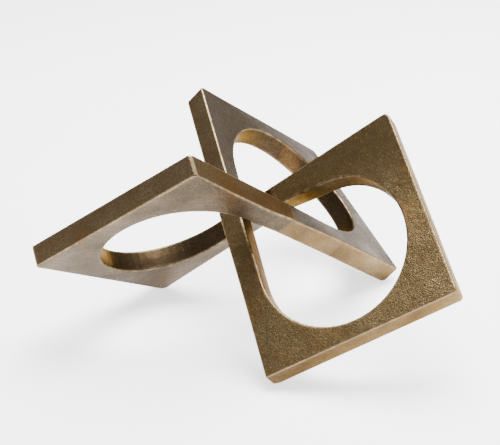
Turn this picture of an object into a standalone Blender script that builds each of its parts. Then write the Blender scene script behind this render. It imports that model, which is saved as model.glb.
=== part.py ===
"""Interlocked three-square brass puzzle sculpture, metres, +Z up.

Three sand-cast frames are brazed end to end into one closed loop.  Each frame is a
square plate with a round hole that breaks out at one corner, which leaves two long
arms.  The arms thread through the other frames' holes, and meet the neighbours' arms
near the middle of each long bar.  The loop stands on one ground corner of each frame.
"""
import math

import bmesh
import bpy
from mathutils import Matrix, Vector

# Driving dimensions: the frame's side, and its plate and bar thickness.
SIDE = 0.125
BAR = 0.0143
HOLE_SHARE = 0.385
ARC_STEPS = 44
EDGE_RADIUS = 0.0009
GRID_STEP = 0.0065

# The frames' outer corners stand on three circles about the vertical axis:
# (circle radius, turn in degrees, height), at the middle of the plate's thickness.
FOOT_HEIGHT = 0.0030
FOOT_CORNER = (0.791 * SIDE, -90.7, FOOT_HEIGHT)
OUTER_CORNER = (1.228 * SIDE, -43.5, FOOT_HEIGHT + 0.431 * SIDE)
TOP_CORNER = (0.660 * SIDE, 0.8, FOOT_HEIGHT + 1.041 * SIDE)
FRAMES = ("right", "left", "rear")
TURN_BETWEEN_FRAMES = -120.0
# The narrowest metal left between each frame's hole and its base edge.
HOLE_WEBS = (0.0110, 0.0144, 0.0156)
# The left frame sits a little out of the three-fold pattern: two of its corners are moved.
LEFT_FOOT_SHIFT = Vector((0.0129, 0.0085, 0.0))
LEFT_OUTER_SHIFT = Vector((0.0022, 0.0114, 0.0059))

# Each long bar runs from one frame's top corner to the next frame's foot corner.
JOINT_SHARE = 0.45
SEAM_THICKNESS = 0.0008
SEAM_GAP = 0.0003
WARP_START = 0.35
SHARP_ANGLE = math.radians(50)
SMOOTH_ANGLE = math.radians(30)
FLAT_ANGLE = 0.001
WELD_DISTANCE = 0.00002
FLOOR_CUTTER_SIZE = 0.4


def clear_scene():
    for obj in list(bpy.data.objects):
        bpy.data.objects.remove(obj, do_unlink=True)


def collection(name):
    made = bpy.data.collections.new(name)
    bpy.context.scene.collection.children.link(made)
    return made


def metal(name, colour, roughness):
    material = bpy.data.materials.new(name)
    material.use_nodes = True
    shader = material.node_tree.nodes["Principled BSDF"]
    shader.inputs["Base Color"].default_value = (*colour, 1.0)
    shader.inputs["Roughness"].default_value = roughness
    shader.inputs["Metallic"].default_value = 1.0
    return material


def smoothstep(value, low, high):
    share = min(max((value - low) / (high - low), 0.0), 1.0)
    return share * share * (3.0 - 2.0 * share)


def on_circle(corner, turn):
    radius, angle, height = corner
    angle = math.radians(angle + turn)
    return Vector((radius * math.cos(angle), radius * math.sin(angle), height))


def across(vector, direction):
    """The part of a vector that is square to a direction, at unit length."""
    return (vector - vector.dot(direction) * direction).normalized()


class Frame:
    """One frame's corners, and its directions in space."""

    def __init__(self, index):
        turn = index * TURN_BETWEEN_FRAMES
        self.name = FRAMES[index]
        self.foot = on_circle(FOOT_CORNER, turn)
        self.outer = on_circle(OUTER_CORNER, turn)
        self.top = on_circle(TOP_CORNER, turn)
        if self.name == "left":
            self.foot += LEFT_FOOT_SHIFT
            self.outer += LEFT_OUTER_SHIFT
        self.base_length = (self.foot - self.outer).length
        self.side_length = (self.top - self.outer).length
        self.along = (self.foot - self.outer).normalized()
        self.up = (self.top - self.outer).normalized()
        self.normal = self.along.cross(self.up).normalized()
        self.hole_radii = (HOLE_SHARE * self.base_length, HOLE_SHARE * self.side_length)
        self.hole_x = self.base_length - BAR - self.hole_radii[0]
        self.hole_y = HOLE_WEBS[index] + self.hole_radii[1]
        self.foot_bar_start = self.foot - self.along * BAR / 2
        self.top_bar_start = self.top - self.up * BAR / 2


class LongBar:
    """The bar from one frame's top corner to the next frame's foot corner."""

    def __init__(self, frame, following):
        self.direction = (following.foot_bar_start - frame.top_bar_start).normalized()
        length = (following.foot_bar_start - frame.top_bar_start).length
        self.joint = frame.top_bar_start + self.direction * length * JOINT_SHARE
        start = across(frame.normal, self.direction)
        end = across(following.normal, self.direction)
        twist = math.atan2(start.cross(end).dot(self.direction), start.dot(end))
        twist = (twist + math.pi / 4) % (math.pi / 2) - math.pi / 4
        self.start_normal = Matrix.Rotation(twist / 2, 3, self.direction) @ start
        self.end_normal = Matrix.Rotation(-twist / 2, 3, self.direction) @ end


class Arm:
    """How a frame's flat arm follows its long bar out of the plate's plane."""

    def __init__(self, start, direction, joint, section_normal, plate_axis, side_axis, normal):
        self.start = start
        self.slope = direction / direction.dot(plate_axis)
        self.plate_axis = plate_axis
        self.side_axis = side_axis
        self.normal = normal
        reach = (joint - start).dot(direction) - SEAM_THICKNESS / 2 - SEAM_GAP
        self.end = reach * direction.dot(plate_axis)
        self.joint_normal = section_normal
        joint_side = direction.cross(section_normal)
        if joint_side.dot(side_axis) < 0:
            joint_side = -joint_side
        self.joint_side = joint_side

    def point(self, distance, side, depth, blend):
        side_axis = self.side_axis.lerp(self.joint_side, blend)
        normal = self.normal.lerp(self.joint_normal, blend)
        return self.start + self.slope * distance + side_axis * side + normal * depth


def tangent_turn(frame, point, side):
    """The hole's angle at which its tangent runs through an arm's inner end corner."""
    x = (point[0] - frame.hole_x) / frame.hole_radii[0]
    y = (point[1] - frame.hole_y) / frame.hole_radii[1]
    return math.atan2(y, x) + side * math.acos(1.0 / max(math.hypot(x, y), 1.0))


def outline_points(frame, foot_arm, top_arm):
    """The flat outline: x from the outer corner to the foot, y up to the top corner."""
    width = frame.base_length
    height = frame.side_length
    foot_inner = (width - BAR, foot_arm.end)
    top_inner = (top_arm.end, height - BAR)
    first = tangent_turn(frame, foot_inner, -1)
    last = tangent_turn(frame, top_inner, 1) - 2 * math.pi
    points = [(0.0, 0.0), (width, 0.0), (width, foot_arm.end), foot_inner]
    for step in range(ARC_STEPS + 1):
        angle = first + (last - first) * step / ARC_STEPS
        x = frame.hole_x + frame.hole_radii[0] * math.cos(angle)
        y = frame.hole_y + frame.hole_radii[1] * math.sin(angle)
        points.append((x, y))
    points += [top_inner, (top_arm.end, height), (0.0, height)]
    return points


def flat_plate(points):
    """A mesh of the outline at the plate's thickness, with one face on each side."""
    curve = bpy.data.curves.new("outline", "CURVE")
    curve.dimensions = "2D"
    curve.fill_mode = "BOTH"
    curve.extrude = BAR / 2
    spline = curve.splines.new("POLY")
    spline.points.add(len(points) - 1)
    for point, (x, y) in zip(spline.points, points):
        point.co = (x, y, 0.0, 1.0)
    spline.use_cyclic_u = True
    holder = bpy.data.objects.new("outline", curve)
    bpy.context.scene.collection.objects.link(holder)
    graph = bpy.context.evaluated_depsgraph_get()
    mesh = bpy.data.meshes.new_from_object(holder.evaluated_get(graph))
    bpy.data.objects.remove(holder, do_unlink=True)
    plate = bmesh.new()
    plate.from_mesh(mesh)
    bpy.data.meshes.remove(mesh)
    bmesh.ops.remove_doubles(plate, verts=plate.verts, dist=WELD_DISTANCE)
    bmesh.ops.dissolve_limit(plate, angle_limit=FLAT_ANGLE, verts=plate.verts, edges=plate.edges)
    bmesh.ops.recalc_face_normals(plate, faces=plate.faces)
    return plate


def sharp_edges(plate, foot_arm, top_arm):
    """The plate's sharp edges, apart from those of the two joint faces."""
    def on_joint_face(edge):
        at_foot = all(abs(v.co.y - foot_arm.end) < WELD_DISTANCE for v in edge.verts)
        at_top = all(abs(v.co.x - top_arm.end) < WELD_DISTANCE for v in edge.verts)
        return (at_foot and edge.verts[0].co.x > top_arm.end) or at_top
    found = []
    for edge in plate.edges:
        if edge.calc_face_angle(0.0) > SHARP_ANGLE and not on_joint_face(edge):
            found.append(edge)
    return found


def round_edges(plate, foot_arm, top_arm):
    """Rounds the cast edges, and leaves those of the two joint faces sharp."""
    rounded = sharp_edges(plate, foot_arm, top_arm)
    bmesh.ops.bevel(
        plate, geom=rounded, offset=EDGE_RADIUS, segments=2, affect="EDGES",
        profile=0.5, clamp_overlap=True,
    )


def cut_into_grid(plate, width, height):
    """Lines across the plate, so that the arms can bend."""
    for axis, length in ((Vector((1, 0, 0)), width), (Vector((0, 1, 0)), height)):
        count = round(length / GRID_STEP)
        for step in range(1, count):
            bmesh.ops.bisect_plane(
                plate, geom=plate.verts[:] + plate.edges[:] + plate.faces[:],
                dist=WELD_DISTANCE, plane_co=axis * length * step / count, plane_no=axis,
            )


def bend(plate, frame, foot_arm, top_arm):
    """Moves the flat plate into space, with each arm along its own long bar."""
    width = frame.base_length
    height = frame.side_length
    for vertex in plate.verts:
        x, y, depth = vertex.co
        place = frame.outer + frame.along * x + frame.up * y + frame.normal * depth
        on_foot_arm = x > width - BAR - WELD_DISTANCE
        if on_foot_arm or x / width > y / height:
            arm, distance, side = foot_arm, y, x - (width - BAR / 2)
            share = smoothstep(x, WARP_START * width, width - BAR)
            blend = smoothstep(y, frame.hole_y, foot_arm.end)
        else:
            arm, distance, side = top_arm, x, y - (height - BAR / 2)
            share = smoothstep(y, WARP_START * height, height - BAR)
            blend = smoothstep(x, frame.hole_x, top_arm.end)
        if blend > 0.0:
            place = arm.point(distance, side, depth, blend)
        else:
            place += (arm.slope - arm.plate_axis) * distance * share
        vertex.co = place


def cast_frame(frame, bar_in, bar_out, material, home):
    foot_arm = Arm(
        frame.foot_bar_start, -bar_in.direction, bar_in.joint, bar_in.end_normal,
        frame.up, frame.along, frame.normal,
    )
    top_arm = Arm(
        frame.top_bar_start, bar_out.direction, bar_out.joint, bar_out.start_normal,
        frame.along, frame.up, frame.normal,
    )
    points = outline_points(frame, foot_arm, top_arm)
    plate = flat_plate(points)
    round_edges(plate, foot_arm, top_arm)
    cut_into_grid(plate, frame.base_length, frame.side_length)
    bend(plate, frame, foot_arm, top_arm)
    bmesh.ops.recalc_face_normals(plate, faces=plate.faces)
    mesh = bpy.data.meshes.new(f"{frame.name}_frame_casting")
    plate.to_mesh(mesh)
    plate.free()
    mesh.shade_smooth()
    mesh.set_sharp_from_angle(angle=SMOOTH_ANGLE)
    casting = bpy.data.objects.new(mesh.name, mesh)
    casting.data.materials.append(material)
    home.objects.link(casting)
    return casting


def braze_seam(name, bar, material, home):
    bpy.ops.mesh.primitive_cube_add(size=1.0)
    seam = bpy.context.object
    seam.name = f"{name}_braze_seam"
    seam.data.name = seam.name
    side = bar.direction.cross(bar.start_normal)
    turn = Matrix((side, bar.start_normal, bar.direction)).transposed().to_4x4()
    seam.matrix_world = Matrix.Translation(bar.joint) @ turn
    seam.scale = (BAR, BAR, SEAM_THICKNESS)
    seam.data.materials.append(material)
    for owner in list(seam.users_collection):
        owner.objects.unlink(seam)
    home.objects.link(seam)
    return seam


def floor_cutter(home):
    """A block under the floor line, which grinds the small flats on the three feet."""
    bpy.ops.mesh.primitive_cube_add(size=FLOOR_CUTTER_SIZE)
    cutter = bpy.context.object
    cutter.name = "floor_cutter"
    cutter.location = (0.0, 0.0, -FLOOR_CUTTER_SIZE / 2)
    cutter.hide_render = True
    cutter.display_type = "WIRE"
    for owner in list(cutter.users_collection):
        owner.objects.unlink(cutter)
    home.objects.link(cutter)
    return cutter


def grind_foot(casting, cutter):
    cut = casting.modifiers.new("foot_flat", "BOOLEAN")
    cut.operation = "DIFFERENCE"
    cut.solver = "EXACT"
    cut.object = cutter


def centre_on_origin(objects):
    """Moves the whole loop so that its box is centred over the origin."""
    corners = [obj.matrix_world @ v.co for obj in objects for v in obj.data.vertices]
    middle = Vector((0.0, 0.0, 0.0))
    for axis in range(2):
        values = [corner[axis] for corner in corners]
        middle[axis] = (min(values) + max(values)) / 2
    for obj in objects:
        obj.location -= middle


def build():
    clear_scene()
    parts = collection("interlocked_squares_puzzle")
    cutters = collection("cutters")
    bronze = metal("cast_bronze", (0.30, 0.20, 0.10), 0.45)
    filler = metal("braze_filler", (0.42, 0.30, 0.14), 0.35)
    frames = [Frame(index) for index in range(len(FRAMES))]
    bars = []
    for index, frame in enumerate(frames):
        bars.append(LongBar(frame, frames[(index + 1) % len(frames)]))
    cutter = floor_cutter(cutters)
    made = []
    for index, frame in enumerate(frames):
        casting = cast_frame(frame, bars[index - 1], bars[index], bronze, parts)
        grind_foot(casting, cutter)
        made.append(casting)
        made.append(braze_seam(frame.name, bars[index], filler, parts))
    bpy.context.view_layer.update()
    centre_on_origin(made)


build()
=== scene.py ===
"""Looks of the interlocked squares puzzle sculpture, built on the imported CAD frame."""
import math

import bmesh
import bpy
import numpy as np
from mathutils import Matrix, Vector, noise
from mathutils.kdtree import KDTree


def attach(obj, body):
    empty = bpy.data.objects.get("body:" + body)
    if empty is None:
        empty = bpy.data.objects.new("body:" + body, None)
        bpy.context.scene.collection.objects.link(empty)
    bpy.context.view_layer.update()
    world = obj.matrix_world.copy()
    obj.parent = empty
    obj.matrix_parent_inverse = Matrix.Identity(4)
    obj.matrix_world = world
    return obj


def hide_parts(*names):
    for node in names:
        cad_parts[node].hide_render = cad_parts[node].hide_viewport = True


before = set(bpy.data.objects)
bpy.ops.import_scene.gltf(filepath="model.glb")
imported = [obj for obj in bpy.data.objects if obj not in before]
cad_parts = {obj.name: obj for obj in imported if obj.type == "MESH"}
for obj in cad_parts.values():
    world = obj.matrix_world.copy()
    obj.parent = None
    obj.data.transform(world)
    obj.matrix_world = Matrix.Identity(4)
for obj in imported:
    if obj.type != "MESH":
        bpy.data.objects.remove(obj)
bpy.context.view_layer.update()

# Cast surface, in metres.
VOXEL = 0.0008
WAVE_SIZE = 0.016
WAVE_DEPTH = 0.00012
GRAIN_SIZE = 0.0024
GRAIN_DEPTH = 0.00007
SIDE_GRAIN_SHARE = 0.3
PILLOW_DEPTH = 0.00025
PILLOW_REACH = 0.007
PILLOW_CURVE = 0.7
# The edge band: real wear and a painted edge highlight.
WEAR_HIGHLIGHT_WIDTH = 0.0009
WEAR_HIGHLIGHT_FADE = 1.5
WELD = 0.00001

# Telling a plate's faces from its sides, and its edges from its bends.
FACE_COSINE = 0.8
SAME_PLANE_COSINE = 0.999
NEAR_PLANE_COSINE = 0.97
PLANE_ROUNDS = 4
EDGE_ANGLE = math.radians(20)

# The plates' outer corners, apart from the three that stand on the table.
TOP_CORNER_RADII = {"right": 0.0050, "left": 0.0032, "rear": 0.0025}
TOP_CORNER_LOWEST = 0.10
SIDE_CORNER_RADIUS = 0.0028
CORNER_LOWEST = 0.010
CORNER_REACH = 0.020
CORNER_EDGE_LENGTH = 0.008
CORNER_EDGE_COSINE = 0.95
CORNER_ANGLES = (math.radians(35), math.radians(60))

# The filed band over each brazed joint.
SEAM_PROUD = 0.00006
SEAM_LENGTH = 0.0030
SEAM_EDGE = 0.0010
SEAM_TAPER = 4.8
SEAM_CUTS = (-0.3, 0.0, 0.3)
SAME_SIDE_COSINE = 0.9
BAND_SHARP_ANGLE = math.radians(60)

# Camera at the photograph's viewing angle: metres, degrees, millimetres.
CAMERA_PLACE = (0.008, -0.908, 0.419)
CAMERA_TURN = (68.33, 2.54, -0.98)
CAMERA_LENS = 107.2

# Studio.
FLOOR_SIZE = 12.0
FLOOR_HEIGHT = -0.0002
FLOOR_GLOW = 1.7
WORLD_STRENGTH = 0.62
LIGHT_TARGET = (0, 0, 0.05)

# Patina colours, linear: (dark, middle, light). The hole walls' brown is painted shade, the
# sides' tan is filed metal with a painted sheen, the bright brass is edge wear with a
# painted edge highlight, and the sparkle colour is painted glints.
GOLDEN = ((0.062, 0.041, 0.018), (0.112, 0.077, 0.036), (0.170, 0.122, 0.062))
TAUPE = ((0.048, 0.035, 0.022), (0.079, 0.059, 0.037), (0.118, 0.091, 0.060))
# Outer sides: the filed metal's tan, made lighter to paint the sheen of sides seen edge-on.
SIDE_TAN_SHEEN = ((0.088, 0.059, 0.031), (0.152, 0.106, 0.058), (0.212, 0.154, 0.092))
# Hole walls: a darker brown that paints the shade inside the holes.
WALL_SHADE_BROWN = ((0.036, 0.023, 0.012), (0.062, 0.041, 0.022), (0.100, 0.068, 0.038))
RUSSET = (0.165, 0.085, 0.030, 1.0)
WARM_TINT = (0.72, 0.58, 0.44, 1.0)
GREY_TINT = (0.84, 0.79, 0.75, 1.0)
# Bright brass at the edges: worn metal and a painted edge highlight.
BRIGHT_BRASS_HIGHLIGHT = (0.400, 0.300, 0.180, 1.0)
# Painted glints: light caught by the casting grain, painted as bright specks.
PAINTED_GLINT = (0.420, 0.340, 0.210, 1.0)

# Patina pattern: features in a metre, or as a share of the casting grain's.
CLOUD_SCALE = 38.0
PATCH_SCALE = 17.0
# Breaks up the worn edges and their painted highlight.
EDGE_BREAKUP_SCALE = 210.0
# Size of the painted glints.
GLINT_SIZE_SHARE = 1.25
PIT_SHARE = 0.35
GRAIN_BUMP = 0.0005
PIT_BUMP = 0.0003
PIT_STRENGTH_SHARE = 0.35


def node_tree(name):
    material = bpy.data.materials.new(name)
    material.use_nodes = True
    return material, material.node_tree.nodes, material.node_tree.links


def noise_node(nodes, links, place, scale, detail=4.0, roughness=0.55, distortion=0.0):
    texture = nodes.new("ShaderNodeTexNoise")
    texture.inputs["Scale"].default_value = scale
    texture.inputs["Detail"].default_value = detail
    texture.inputs["Roughness"].default_value = roughness
    texture.inputs["Distortion"].default_value = distortion
    links.new(place, texture.inputs["Vector"])
    return texture.outputs["Fac"]


def ramp_node(nodes, links, value, *stops):
    """A colour ramp on a value, with two or more stops of (position, colour)."""
    ramp = nodes.new("ShaderNodeValToRGB")
    elements = ramp.color_ramp.elements
    while len(elements) < len(stops):
        elements.new(0.5)
    for element, (position, colour) in zip(elements, stops):
        element.position = position
        element.color = colour
    links.new(value, ramp.inputs["Fac"])
    return ramp.outputs["Color"]


def grey(value):
    return (value, value, value, 1.0)


def mix_colour(nodes, links, share, first, second):
    mix = nodes.new("ShaderNodeMix")
    mix.data_type = "RGBA"
    links.new(share, mix.inputs["Factor"])
    for value, socket in ((first, mix.inputs["A"]), (second, mix.inputs["B"])):
        if isinstance(value, tuple):
            socket.default_value = value
        else:
            links.new(value, socket)
    return mix.outputs["Result"]


def multiply(nodes, links, first, second):
    maths = nodes.new("ShaderNodeMath")
    maths.operation = "MULTIPLY"
    links.new(first, maths.inputs[0])
    links.new(second, maths.inputs[1])
    return maths.outputs["Value"]


def bump_node(nodes, links, height, strength, distance, normal=None):
    bump = nodes.new("ShaderNodeBump")
    bump.inputs["Strength"].default_value = strength
    bump.inputs["Distance"].default_value = distance
    links.new(height, bump.inputs["Height"])
    if normal is not None:
        links.new(normal, bump.inputs["Normal"])
    return bump.outputs["Normal"]


def bronze(name, tones, tint, grain_scale, grain_strength, glint_amount, roughness):
    """Patinated cast bronze: mottled colour, casting grain, pits, painted glints, and worn
    edges with a painted edge highlight.
    """
    material, nodes, links = node_tree(name)
    shader = nodes["Principled BSDF"]
    shader.inputs["Metallic"].default_value = 1.0
    shader.inputs["Specular Tint"].default_value = tint
    place = nodes.new("ShaderNodeTexCoord").outputs["Object"]
    dark, middle, light = [(*tone, 1.0) for tone in tones]

    clouds = noise_node(nodes, links, place, CLOUD_SCALE, detail=6.0, roughness=0.62)
    mottle = ramp_node(nodes, links, clouds, (0.30, dark), (0.50, middle), (0.74, light))
    patches = noise_node(
        nodes, links, place, PATCH_SCALE, detail=5.0, roughness=0.7, distortion=0.6,
    )
    patch_share = ramp_node(nodes, links, patches, (0.56, grey(0.0)), (0.66, grey(0.65)))
    mottle = mix_colour(nodes, links, patch_share, mottle, RUSSET)
    grain = noise_node(nodes, links, place, grain_scale, detail=3.0, roughness=0.7)
    grain_share = ramp_node(nodes, links, grain, (0.36, grey(0.75)), (0.56, grey(0.0)))
    colour = mix_colour(nodes, links, grain_share, mottle, dark)

    # Painted glints: bright specks that stand in for light caught by the grain.
    glint_noise = noise_node(nodes, links, place, grain_scale * GLINT_SIZE_SHARE, detail=1.0)
    glint_share = ramp_node(nodes, links, glint_noise, (0.66, grey(0.0)), (0.76, grey(glint_amount)))
    colour = mix_colour(nodes, links, glint_share, colour, PAINTED_GLINT)

    # Bright brass along the edges: partly wear, partly a painted edge highlight.
    wear_and_highlight = nodes.new("ShaderNodeAttribute")
    wear_and_highlight.attribute_name = "wear_and_highlight"
    edge_breakup = noise_node(nodes, links, place, EDGE_BREAKUP_SCALE, detail=3.0)
    edge_breakup_share = ramp_node(nodes, links, edge_breakup, (0.42, grey(0.15)), (0.64, grey(0.55)))
    worn_and_highlit = multiply(nodes, links, wear_and_highlight.outputs["Fac"], edge_breakup_share)
    colour = mix_colour(nodes, links, worn_and_highlit, colour, BRIGHT_BRASS_HIGHLIGHT)
    links.new(colour, shader.inputs["Base Color"])

    low, high = roughness
    gloss = ramp_node(nodes, links, clouds, (0.3, grey(high)), (0.7, grey(low)))
    links.new(gloss, shader.inputs["Roughness"])

    pits = nodes.new("ShaderNodeTexVoronoi")
    pits.inputs["Scale"].default_value = grain_scale * PIT_SHARE
    links.new(place, pits.inputs["Vector"])
    pit_depth = ramp_node(
        nodes, links, pits.outputs["Distance"], (0.05, grey(0.0)), (0.22, grey(1.0)),
    )
    normal = bump_node(nodes, links, grain, grain_strength, GRAIN_BUMP)
    pit_strength = grain_strength * PIT_STRENGTH_SHARE
    normal = bump_node(nodes, links, pit_depth, pit_strength, PIT_BUMP, normal)
    links.new(normal, shader.inputs["Normal"])
    return material


def welded_copy(node):
    """The node's mesh with its split corners joined again, in a new object."""
    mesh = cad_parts[node].data.copy()
    work = bmesh.new()
    work.from_mesh(mesh)
    bmesh.ops.remove_doubles(work, verts=work.verts, dist=WELD)
    work.to_mesh(mesh)
    work.free()
    copy = bpy.data.objects.new(f"{node}_guide", mesh)
    bpy.context.scene.collection.objects.link(copy)
    return copy


def apply_modifiers(obj):
    """Gives the object its evaluated mesh, and removes its modifiers."""
    graph = bpy.context.evaluated_depsgraph_get()
    mesh = bpy.data.meshes.new_from_object(obj.evaluated_get(graph))
    obj.modifiers.clear()
    obj.data = mesh


def main_normal(mesh):
    """The direction of the plate's two large faces."""
    normals = np.array([tuple(face.normal) for face in mesh.polygons])
    areas = np.array([face.area for face in mesh.polygons])
    same_plane = (normals @ normals.T) > SAME_PLANE_COSINE
    found = normals[int(np.argmax(same_plane @ areas))]
    for _ in range(PLANE_ROUNDS):
        near = np.abs(normals @ found) > NEAR_PLANE_COSINE
        signs = np.sign(normals[near] @ found)
        found = (normals[near] * (signs * areas[near])[:, None]).sum(axis=0)
        found /= np.linalg.norm(found)
    return Vector(found)


def edge_points(mesh):
    """The guide mesh's rounded edges, as a KD-tree of points along them."""
    work = bmesh.new()
    work.from_mesh(mesh)
    points = []
    for edge in work.edges:
        if edge.calc_face_angle(0.0) < EDGE_ANGLE:
            continue
        first, last = edge.verts[0].co, edge.verts[1].co
        count = max(1, int((last - first).length / VOXEL))
        points += [first.lerp(last, step / count) for step in range(count + 1)]
    work.free()
    tree = KDTree(len(points))
    for index, point in enumerate(points):
        tree.insert(point, index)
    tree.balance()
    return tree


def corner_sides(edge, radius):
    """The two sides that meet at a corner, each as (normal, where the rounding starts)."""
    first, second = [face.normal for face in edge.link_faces]
    half_turn = first.angle(second)
    outward = (first + second).normalized()
    along = (first - second).normalized()
    sides = []
    for face, sign in zip(edge.link_faces, (1, -1)):
        normal = outward * math.cos(half_turn) + along * sign * math.sin(half_turn)
        reach = max(vertex.co.dot(normal) for vertex in face.verts)
        sides.append((normal, reach - radius))
    return sides


def outer_corners(mesh, plate_normal, top_radius):
    """The corner edges across the plate's thickness, each as (middle, sides)."""
    work = bmesh.new()
    work.from_mesh(mesh)
    found = []
    for edge in work.edges:
        first, last = edge.verts[0].co, edge.verts[1].co
        middle = (first + last) / 2
        square_on = abs((last - first).normalized().dot(plate_normal)) > CORNER_EDGE_COSINE
        long_enough = (last - first).length > CORNER_EDGE_LENGTH
        rounded = CORNER_ANGLES[0] < edge.calc_face_angle(0.0) < CORNER_ANGLES[1]
        if square_on and long_enough and rounded and middle.z > CORNER_LOWEST:
            at_top = middle.z > TOP_CORNER_LOWEST
            radius = top_radius if at_top else SIDE_CORNER_RADIUS
            found.append((middle, corner_sides(edge, radius)))
    work.free()
    return found


def round_corners(mesh, corners):
    """Turns each corner's square end into a round one, edges included."""
    for middle, ((side, side_start), (next_side, next_start)) in corners:
        lean = side.dot(next_side)
        for vertex in mesh.vertices:
            if (vertex.co - middle).length > CORNER_REACH:
                continue
            past = vertex.co.dot(side) - side_start
            next_past = vertex.co.dot(next_side) - next_start
            share = (past - lean * next_past) / (1 - lean * lean)
            next_share = (next_past - lean * past) / (1 - lean * lean)
            if share > 0 and next_share > 0:
                offset = side * share + next_side * next_share
                vertex.co += offset * (max(past, next_past) / offset.length - 1)


def surface_index(face, plate_normal, centre):
    """0 for the plate's cast faces, 1 for its outer sides, 2 for the hole's walls."""
    if abs(face.normal.dot(plate_normal)) > FACE_COSINE:
        return 0
    return 2 if face.normal.dot(centre - face.center) > 0 else 1


def sand_cast(mesh, plate_normal, edge_tree):
    """Casting waves and grain on the faces, a soft swell on the sides, and edge wear with a
    painted edge highlight.
    """
    wear_and_highlight = mesh.attributes.new("wear_and_highlight", "FLOAT", "POINT")
    moves = []
    for vertex in mesh.vertices:
        place = vertex.co
        _, _, distance = edge_tree.find(place)
        inside = min(distance / WEAR_HIGHLIGHT_WIDTH, 1.0)
        facing = abs(vertex.normal.dot(plate_normal)) > FACE_COSINE
        wave = noise.noise(place / WAVE_SIZE) * WAVE_DEPTH
        grain = noise.noise(place / GRAIN_SIZE) * GRAIN_DEPTH
        move = wave + grain * (1.0 if facing else SIDE_GRAIN_SHARE)
        if not facing:
            move += PILLOW_DEPTH * (min(distance / PILLOW_REACH, 1.0) ** PILLOW_CURVE - 0.5)
        moves.append(vertex.normal * move * inside)
        wear_and_highlight.data[vertex.index].value = (1.0 - inside) ** WEAR_HIGHLIGHT_FADE
    for vertex, move in zip(mesh.vertices, moves):
        vertex.co += move


def casting(frame_name, materials):
    """A finely meshed casting that stands for one frame's node."""
    node = f"{frame_name}_frame_casting"
    guide = welded_copy(node)
    plate_normal = main_normal(guide.data)
    edge_tree = edge_points(guide.data)
    corners = outer_corners(guide.data, plate_normal, TOP_CORNER_RADII[frame_name])
    piece = bpy.data.objects.new(f"{frame_name}_frame_skin", guide.data.copy())
    bpy.context.scene.collection.objects.link(piece)
    remesh = piece.modifiers.new("fine", "REMESH")
    remesh.mode = "VOXEL"
    remesh.voxel_size = VOXEL
    wrap = piece.modifiers.new("true_faces", "SHRINKWRAP")
    wrap.target = guide
    wrap.wrap_method = "NEAREST_SURFACEPOINT"
    apply_modifiers(piece)
    mesh = piece.data
    sand_cast(mesh, plate_normal, edge_tree)
    round_corners(mesh, corners)
    mesh.materials.clear()
    for material in materials:
        mesh.materials.append(material)
    centre = sum((vertex.co for vertex in mesh.vertices), Vector()) / len(mesh.vertices)
    for face in mesh.polygons:
        # Index 2, the hole walls, takes the material with painted shade; index 1, the outer
        # sides, takes the one with a painted sheen.
        face.material_index = surface_index(face, plate_normal, centre)
    mesh.shade_smooth()
    bpy.data.objects.remove(guide, do_unlink=True)
    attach(piece, "root")
    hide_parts(node)


def box_axes(mesh):
    """A thin box's centre, its two long edge directions, its short one, and its width."""
    corners = [vertex.co.copy() for vertex in mesh.vertices]
    centre = sum(corners, Vector()) / len(corners)
    normals = {}
    for face in mesh.polygons:
        known = normals.values()
        if not any(abs(face.normal.dot(normal)) > SAME_SIDE_COSINE for normal in known):
            normals[face.area] = face.normal.copy()
    areas = sorted(normals, reverse=True)
    across = normals[areas[0]]
    side = normals[areas[1]]
    up = across.cross(side).normalized()
    width = 2 * max((corner - centre).dot(side) for corner in corners)
    return centre, side, up, across, width


def filed_band(frame_name, material):
    """The brazed joint, filed flush over the ends of two arms."""
    node = f"{frame_name}_braze_seam"
    guide = welded_copy(node)
    centre, side, up, across, width = box_axes(guide.data)
    bpy.data.objects.remove(guide, do_unlink=True)
    work = bmesh.new()
    bmesh.ops.create_cube(work, size=1.0)
    wide = width + 2 * SEAM_PROUD
    bmesh.ops.scale(work, vec=(wide, wide, SEAM_LENGTH), verts=work.verts)
    long_edges = []
    for edge in work.edges:
        if abs(edge.verts[0].co.z - edge.verts[1].co.z) > SEAM_LENGTH / 2:
            long_edges.append(edge)
    bmesh.ops.bevel(
        work, geom=long_edges, offset=SEAM_EDGE, segments=4, affect="EDGES", profile=0.5,
    )
    for step in SEAM_CUTS:
        bmesh.ops.bisect_plane(
            work, geom=work.verts[:] + work.edges[:] + work.faces[:],
            plane_co=(0, 0, step * SEAM_LENGTH), plane_no=(0, 0, 1),
        )
    for vertex in work.verts:
        taper = abs(vertex.co.z) / (SEAM_LENGTH / 2)
        shrink = 1.0 - SEAM_TAPER * SEAM_PROUD / width * taper * taper
        vertex.co.x *= shrink
        vertex.co.y *= shrink
    turn = Matrix((side, up, across)).transposed().to_4x4()
    work.transform(Matrix.Translation(centre) @ turn)
    mesh = bpy.data.meshes.new(f"{frame_name}_braze_band")
    work.to_mesh(mesh)
    work.free()
    mesh.attributes.new("wear_and_highlight", "FLOAT", "POINT")
    mesh.materials.append(material)
    mesh.shade_smooth()
    mesh.set_sharp_from_angle(angle=BAND_SHARP_ANGLE)
    band = bpy.data.objects.new(mesh.name, mesh)
    bpy.context.scene.collection.objects.link(band)
    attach(band, "root")
    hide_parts(node)


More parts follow.
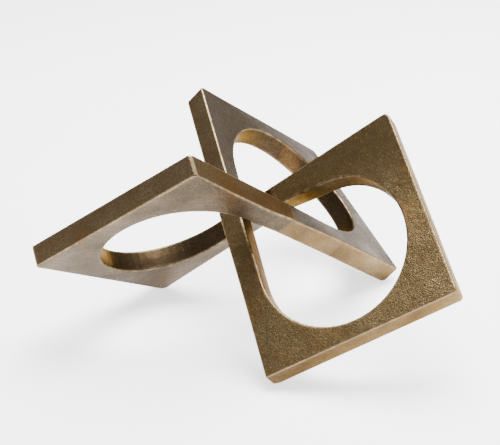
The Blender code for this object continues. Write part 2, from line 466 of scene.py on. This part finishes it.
def plain_floor():
    bpy.ops.mesh.primitive_plane_add(size=FLOOR_SIZE, location=(0, 0, FLOOR_HEIGHT))
    floor = bpy.context.object
    floor.name = "studio_floor"
    material, nodes, _ = node_tree("pale_floor")
    shader = nodes["Principled BSDF"]
    shader.inputs["Base Color"].default_value = grey(0.90)
    shader.inputs["Emission Color"].default_value = grey(1.0)
    shader.inputs["Emission Strength"].default_value = FLOOR_GLOW
    shader.inputs["Roughness"].default_value = 0.6
    floor.data.materials.append(material)


def soft_light(name, place, size, power):
    light = bpy.data.lights.new(name, "AREA")
    light.shape = "DISK"
    light.size = size
    light.energy = power
    lamp = bpy.data.objects.new(name, light)
    lamp.location = place
    toward = Vector(LIGHT_TARGET) - Vector(place)
    lamp.rotation_euler = toward.to_track_quat("-Z", "Y").to_euler()
    bpy.context.scene.collection.objects.link(lamp)


def studio():
    world = bpy.data.worlds.new("studio")
    world.use_nodes = True
    background = world.node_tree.nodes["Background"]
    background.inputs["Color"].default_value = grey(1.0)
    background.inputs["Strength"].default_value = WORLD_STRENGTH
    bpy.context.scene.world = world
    soft_light("top", (0.25, 0.35, 1.30), size=1.3, power=95.0)
    soft_light("side", (1.10, -0.35, 0.55), size=0.9, power=6.0)


def photo_camera():
    camera = bpy.data.cameras.new("camera")
    camera.lens = CAMERA_LENS
    holder = bpy.data.objects.new("camera", camera)
    holder.location = CAMERA_PLACE
    holder.rotation_euler = [math.radians(angle) for angle in CAMERA_TURN]
    bpy.context.scene.collection.objects.link(holder)
    bpy.context.scene.camera = holder


# The outer sides' and filed bands' material: its lighter tan is partly the filed metal,
# partly a painted sheen.
side_metal_with_sheen = bronze(
    "side_bronze_sheen", SIDE_TAN_SHEEN, WARM_TINT,
    grain_scale=900.0, grain_strength=0.12, glint_amount=0.2, roughness=(0.30, 0.44),
)
golden_face = bronze(
    "golden_cast_face", GOLDEN, WARM_TINT,
    grain_scale=1050.0, grain_strength=0.65, glint_amount=0.6, roughness=(0.32, 0.50),
)
taupe_face = bronze(
    "taupe_cast_face", TAUPE, GREY_TINT,
    grain_scale=900.0, grain_strength=0.40, glint_amount=0.35, roughness=(0.32, 0.48),
)
# The hole walls' material: its darker brown is painted shade.
shaded_wall_metal = bronze(
    "hole_wall_shaded_bronze", WALL_SHADE_BROWN, WARM_TINT,
    grain_scale=700.0, grain_strength=0.10, glint_amount=0.15, roughness=(0.28, 0.42),
)
for name, face_metal in (("right", golden_face), ("left", taupe_face), ("rear", taupe_face)):
    casting(name, (face_metal, side_metal_with_sheen, shaded_wall_metal))
for name in ("right", "left", "rear"):
    filed_band(name, side_metal_with_sheen)
plain_floor()
studio()
photo_camera()
